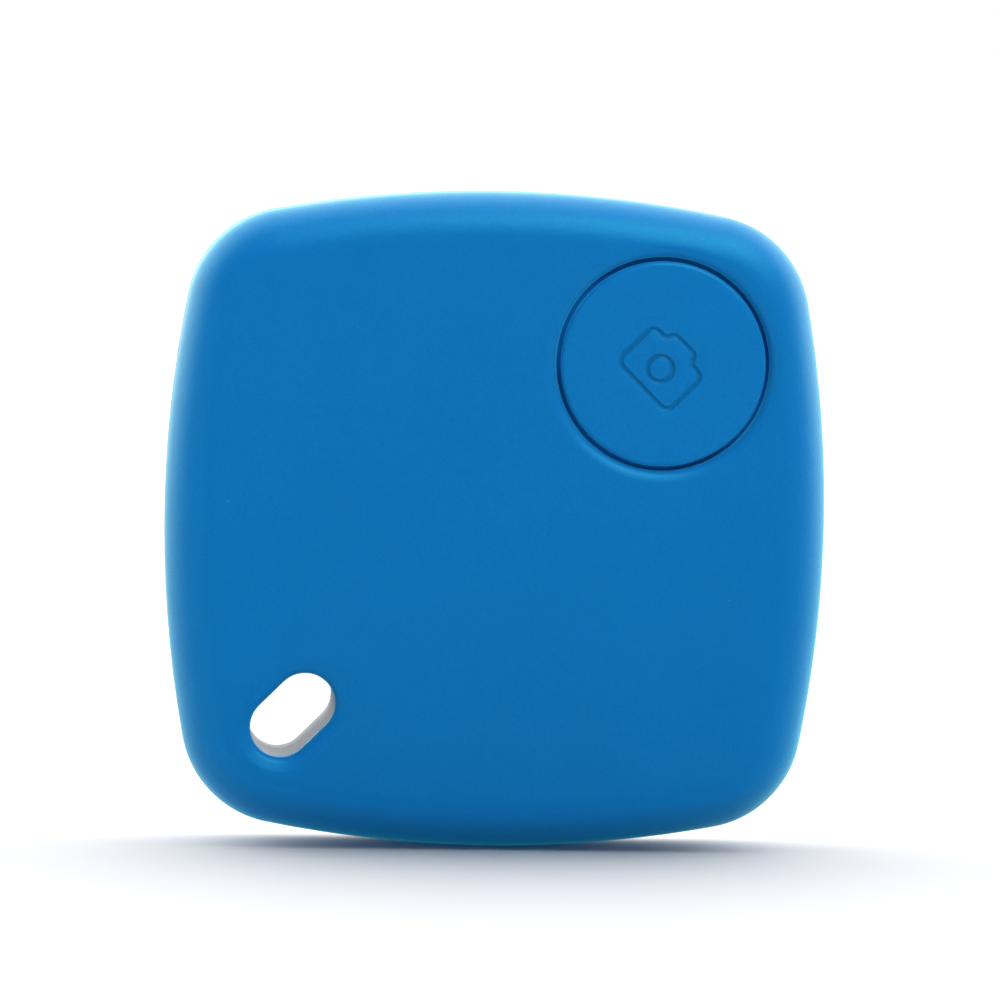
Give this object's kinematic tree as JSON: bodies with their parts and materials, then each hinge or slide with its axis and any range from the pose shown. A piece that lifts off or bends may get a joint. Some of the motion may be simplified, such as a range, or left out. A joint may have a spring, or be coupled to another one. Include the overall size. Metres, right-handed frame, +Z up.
{
  "type": "bluetooth tracker tag",
  "caption": "Square tracker tag with bowed sides, blue soft-touch front, round push button with a camera symbol, through key-ring slot and a bayonet battery door on the back.",
  "frame": {"origin": "middle of the tag's width, height and thickness", "axes": "the tag stands upright: +X to the right seen from the front, +Z up, and the front faces -Y"},
  "size_m": [0.038, 0.0076, 0.0378],
  "materials": {
    "blue_soft_touch": "soft-touch matt",
    "button_blue": "soft-touch matt",
    "grey_frame": "fine spark texture",
    "grey_back": "fine spark texture",
    "grey_door": "fine spark texture",
    "seal_rubber": "satin",
    "black_nylon": "satin",
    "spring_steel": "satin",
    "switch_actuator": "satin",
    "cell_steel": "satin",
    "cell_nylon": "satin",
    "phosphor_bronze": "gold flash",
    "film": "amber",
    "board_laminate": "green solder mask",
    "chip_epoxy": "matt",
    "crystal_can": "satin",
    "antenna_ceramic": "matt",
    "ferrite": "matt",
    "led_resin": "milky",
    "capacitor_ceramic": "matt",
    "resistor_film": "matt",
    "screw_steel": "zinc",
    "tape": "matt",
    "sounder_brass": "satin",
    "sounder_ceramic": "silvered",
    "lead_red": "silicone",
    "lead_black": "silicone",
    "solder": "satin"
  },
  "bodies": {
    "case": {"front_cover": "blue_soft_touch", "inner_frame": "grey_frame", "back_cover": "grey_back", "switch_body": "black_nylon", "switch_cover": "spring_steel", "switch_dome": "spring_steel", "coin_cell_can": "cell_steel", "coin_cell_gasket": "cell_nylon", "coin_cell_cap": "cell_steel", "cell_holder": "black_nylon", "positive_contact": "spring_steel", "negative_contact": "phosphor_bronze", "insulating_film": "film", "circuit_board": "board_laminate", "bluetooth_chip": "chip_epoxy", "main_crystal": "crystal_can", "clock_crystal": "crystal_can", "chip_antenna": "antenna_ceramic", "boost_inductor": "ferrite", "driver_transistor": "chip_epoxy", "status_led": "led_resin", "capacitors": "capacitor_ceramic", "resistors": "resistor_film", "board_screws": "screw_steel", "buzzer_tape": "tape", "buzzer_plate": "sounder_brass", "buzzer_ceramic": "sounder_ceramic", "buzzer_lead_red": "lead_red", "buzzer_lead_black": "lead_black", "solder_joints": "solder"},
    "button": {"button_cap": "button_blue"},
    "plunger": {"switch_plunger": "switch_actuator"},
    "door": {"battery_door": "grey_door", "door_seal": "seal_rubber"}
  },
  "joints": [
    {"name": "button_press", "type": "slide", "parent": "case", "child": "button", "axis": [0, 1, 0], "range_m": [0, 0.0002], "stiffness_N_per_m": 60, "springref_m": -0.0005},
    {"name": "plunger_press", "type": "slide", "parent": "case", "child": "plunger", "axis": [0, 1, 0], "range_m": [0, 0.0002], "deforming": ["switch_dome"]},
    {"name": "door_turn", "type": "hinge", "parent": "case", "child": "door", "pos_m": [0.0006, 0.0038, 0.0006], "axis": [0, 1, 0], "range_deg": [0, 45]}
  ],
  "couplings": [
    {"joint": "plunger_press", "follows": "button_press", "ratio": 1}
  ]
}
